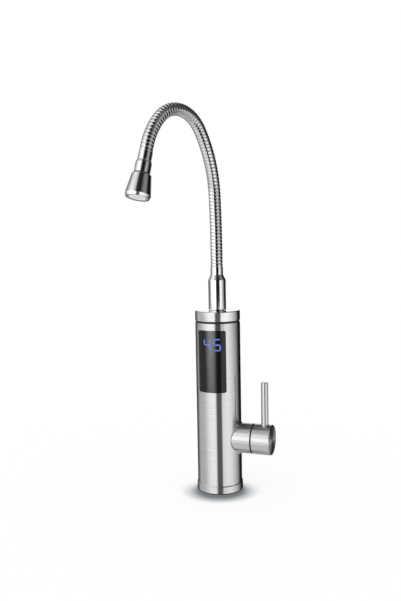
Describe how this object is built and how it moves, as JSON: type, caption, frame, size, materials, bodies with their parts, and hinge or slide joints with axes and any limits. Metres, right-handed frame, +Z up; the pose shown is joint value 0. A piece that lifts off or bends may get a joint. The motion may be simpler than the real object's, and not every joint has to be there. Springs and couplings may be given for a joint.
{
  "type": "electric instant water heater tap",
  "caption": "Upright electric heater tap: steel column with a digital display, side lever valve and a flexible ribbed gooseneck spout that swivels and bends.",
  "frame": {"origin": "centre of the base on the worktop's surface", "axes": "+Z up along the column, the display faces -Y, the lever hub points along +X"},
  "size_m": [0.1198, 0.1565, 0.4961],
  "materials": {
    "brushed_steel": "grain around the column, satin",
    "spun_steel": "spun in rings, satin",
    "chrome": "polished chrome plate",
    "hose_chrome": "polished chrome plate, ribbed",
    "black_rubber": "matt",
    "black_plastic": "satin black",
    "display_black": "smoked acrylic, glossy",
    "brass": "machined",
    "plain_steel": "plain mill finish",
    "disc_ceramic": "lapped",
    "white_plastic": "moulded",
    "grey_plastic": "moulded",
    "board_green": "solder mask",
    "lead_insulation": "insulation"
  },
  "bodies": {
    "column": {"outer_casing": "brushed_steel", "top_cap": "brushed_steel", "base_flange": "brushed_steel", "base_gasket": "black_rubber", "clamp_gasket": "black_rubber", "cap_seal_ring": "black_plastic", "hub_gap_ring": "black_plastic", "cable_gland": "black_plastic", "display_carrier": "black_plastic", "flow_switch": "black_plastic", "display_lens": "display_black", "valve_body": "brass", "bonnet_nut": "brass", "swivel_socket": "brass", "mounting_nut": "brass", "inlet_shank": "brass", "clamp_washer": "plain_steel", "casing_screws": "plain_steel", "tank_shell": "plain_steel", "tank_bottom_cap": "plain_steel", "tank_top_cap": "plain_steel", "riser_tube": "plain_steel", "outlet_tube": "plain_steel", "heating_element": "plain_steel", "temperature_probe": "plain_steel", "thermal_cutout": "plain_steel", "fixed_disc": "disc_ceramic", "cartridge_housing": "white_plastic", "terminal_block": "white_plastic", "digit_module": "grey_plastic", "display_board": "board_green", "power_leads": "lead_insulation"},
    "lever": {"cartridge_stem": "plain_steel", "turning_disc": "disc_ceramic", "handle_hub": "brushed_steel", "handle_screw": "plain_steel", "handle_end_cap": "spun_steel", "lever_rod": "brushed_steel"},
    "plunger": {"switch_plunger": "white_plastic"},
    "spout": {"spout_ferrule": "chrome", "swivel_stem": "brass", "swivel_o_rings": "black_rubber", "stem_clip": "plain_steel", "hose_section_01": "hose_chrome"},
    "hose_2": {"hose_section_02": "hose_chrome"},
    "hose_3": {"hose_section_03": "hose_chrome"},
    "hose_4": {"hose_section_04": "hose_chrome"},
    "hose_5": {"hose_section_05": "hose_chrome"},
    "hose_6": {"hose_section_06": "hose_chrome"},
    "hose_7": {"hose_section_07": "hose_chrome"},
    "hose_8": {"hose_section_08": "hose_chrome"},
    "hose_9": {"hose_section_09": "hose_chrome"},
    "nozzle": {"hose_section_10": "hose_chrome", "end_sleeve": "chrome", "end_collar": "chrome", "nozzle_washer": "black_rubber", "nozzle_shell": "chrome", "aerator_housing": "grey_plastic", "aerator_core": "white_plastic"}
  },
  "joints": [
    {"name": "spout_swivel", "type": "hinge", "parent": "column", "child": "spout", "pos_m": [0, 0, 0.211], "axis": [0, 0, 1], "continuous": true},
    {"name": "lever_turn", "type": "hinge", "parent": "column", "child": "lever", "pos_m": [0.0425, 0, 0.062], "axis": [1, 0, 0], "range_deg": [-90, 90]},
    {"name": "plunger_lift", "type": "slide", "parent": "column", "child": "plunger", "axis": [0, 0, 1], "range_m": [0, 0.002], "stiffness_N_per_m": 400},
    {"name": "leg_bend_1", "type": "hinge", "parent": "spout", "child": "hose_2", "pos_m": [-0.00001, -0.00004, 0.28838], "axis": [0.9397, -0.342, 0], "range_deg": [-6, 6]},
    {"name": "leg_bend_2", "type": "hinge", "parent": "hose_2", "child": "hose_3", "pos_m": [-0.0002, -0.00055, 0.31575], "axis": [0.9397, -0.342, 0], "range_deg": [-6, 6]},
    {"name": "leg_bend_3", "type": "hinge", "parent": "hose_3", "child": "hose_4", "pos_m": [-0.0006, -0.00165, 0.3431], "axis": [0.9397, -0.342, 0], "range_deg": [-6, 6]},
    {"name": "leg_bend_4", "type": "hinge", "parent": "hose_4", "child": "hose_5", "pos_m": [-0.00205, -0.00564, 0.3701], "axis": [0.9397, -0.342, 0], "range_deg": [-6, 6]},
    {"name": "arch_bend_1", "type": "hinge", "parent": "hose_5", "child": "hose_6", "pos_m": [-0.00534, -0.01468, 0.39568], "axis": [0.9397, -0.342, 0], "range_deg": [-6, 6]},
    {"name": "arch_bend_2", "type": "hinge", "parent": "hose_6", "child": "hose_7", "pos_m": [-0.01043, -0.02866, 0.41856], "axis": [0.9397, -0.342, 0], "range_deg": [-6, 6]},
    {"name": "arch_bend_3", "type": "hinge", "parent": "hose_7", "child": "hose_8", "pos_m": [-0.01863, -0.05119, 0.43074], "axis": [0.9397, -0.342, 0], "range_deg": [-6, 6]},
    {"name": "arch_bend_4", "type": "hinge", "parent": "hose_8", "child": "hose_9", "pos_m": [-0.02768, -0.07605, 0.42587], "axis": [0.9397, -0.342, 0], "range_deg": [-6, 6]},
    {"name": "arch_bend_5", "type": "hinge", "parent": "hose_9", "child": "nozzle", "pos_m": [-0.03432, -0.0943, 0.40691], "axis": [0.9397, -0.342, 0], "range_deg": [-6, 6]}
  ],
  "couplings": [
    {"joint": "leg_bend_2", "follows": "leg_bend_1", "ratio": 1},
    {"joint": "leg_bend_3", "follows": "leg_bend_1", "ratio": 1},
    {"joint": "leg_bend_4", "follows": "leg_bend_1", "ratio": 1},
    {"joint": "arch_bend_2", "follows": "arch_bend_1", "ratio": 1},
    {"joint": "arch_bend_3", "follows": "arch_bend_1", "ratio": 1},
    {"joint": "arch_bend_4", "follows": "arch_bend_1", "ratio": 1},
    {"joint": "arch_bend_5", "follows": "arch_bend_1", "ratio": 1}
  ]
}
